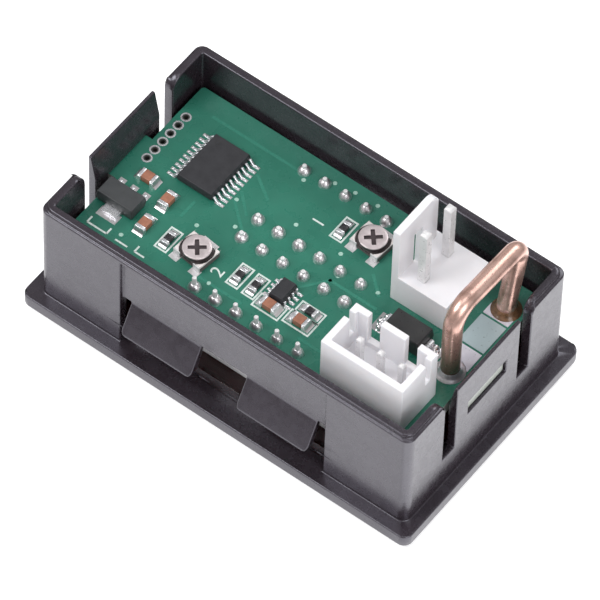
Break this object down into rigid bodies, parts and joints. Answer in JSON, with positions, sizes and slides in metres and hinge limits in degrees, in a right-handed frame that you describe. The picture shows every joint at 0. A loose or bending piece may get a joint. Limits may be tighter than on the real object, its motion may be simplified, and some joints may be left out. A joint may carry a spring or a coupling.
{
  "type": "snap-in digital panel meter",
  "caption": "Snap-in panel meter module seen from its wiring side: case with spring tongues and snaps, circuit board, trimmers, copper shunt and two headers.",
  "frame": {"origin": "middle of the bezel's front face", "axes": "+X along the long side towards the shunt, +Y along the short side towards the power header, +Z from the bezel's front face to the wiring side"},
  "size_m": [0.048, 0.029, 0.0232],
  "materials": {
    "case_plastic": "smooth moulded black plastic with a soft gloss",
    "tinted_lens": "dark red tinted clear plastic",
    "board_green": "green solder mask over glass-fibre board",
    "bright_tin": "bright tinned metal",
    "display_plastic": "light grey moulded plastic",
    "segment_resin": "milky cast resin",
    "solder": "bright solder",
    "pin_metal": "tinned pin metal",
    "rotor_metal": "plated metal with a warm tone",
    "trimmer_ceramic": "pale unglazed ceramic",
    "chip_epoxy": "black moulded epoxy",
    "header_nylon": "natural white nylon",
    "shunt_copper": "bare drawn copper wire",
    "capacitor_ceramic": "brown fired ceramic",
    "resistor_black": "black coated ceramic"
  },
  "bodies": {
    "meter": {"housing": "case_plastic", "display_lens": "tinted_lens", "circuit_board": "board_green", "tinned_lands": "bright_tin", "upper_display_shell": "display_plastic", "upper_display_segments": "segment_resin", "upper_display_pins": "pin_metal", "upper_display_solder": "solder", "lower_display_shell": "display_plastic", "lower_display_segments": "segment_resin", "lower_display_pins": "pin_metal", "lower_display_solder": "solder", "microcontroller_body": "chip_epoxy", "microcontroller_leads": "bright_tin", "amplifier_body": "chip_epoxy", "amplifier_leads": "bright_tin", "regulator_body": "chip_epoxy", "regulator_leads": "bright_tin", "voltage_trimmer_base": "trimmer_ceramic", "voltage_trimmer_terminals": "bright_tin", "current_trimmer_base": "trimmer_ceramic", "current_trimmer_terminals": "bright_tin", "signal_header_shroud": "header_nylon", "signal_header_pins": "pin_metal", "signal_header_solder": "solder", "power_header_body": "header_nylon", "power_header_pins": "pin_metal", "power_header_solder": "solder", "shunt_wire": "shunt_copper", "shunt_solder": "solder", "diode_body": "chip_epoxy", "diode_terminals": "bright_tin", "capacitor_bodies": "capacitor_ceramic", "capacitor_ends": "bright_tin", "resistor_bodies": "resistor_black", "resistor_ends": "bright_tin"},
    "voltage_rotor": {"voltage_trimmer_rotor": "rotor_metal"},
    "current_rotor": {"current_trimmer_rotor": "rotor_metal"}
  },
  "joints": [
    {"name": "voltage_trimmer_turn", "type": "hinge", "parent": "meter", "child": "voltage_rotor", "pos_m": [0.004, 0.0063, 0.01205], "axis": [0, 0, 1], "range_deg": [-115, 115]},
    {"name": "current_trimmer_turn", "type": "hinge", "parent": "meter", "child": "current_rotor", "pos_m": [-0.00895, -0.00535, 0.01205], "axis": [0, 0, 1], "range_deg": [-115, 115]}
  ]
}
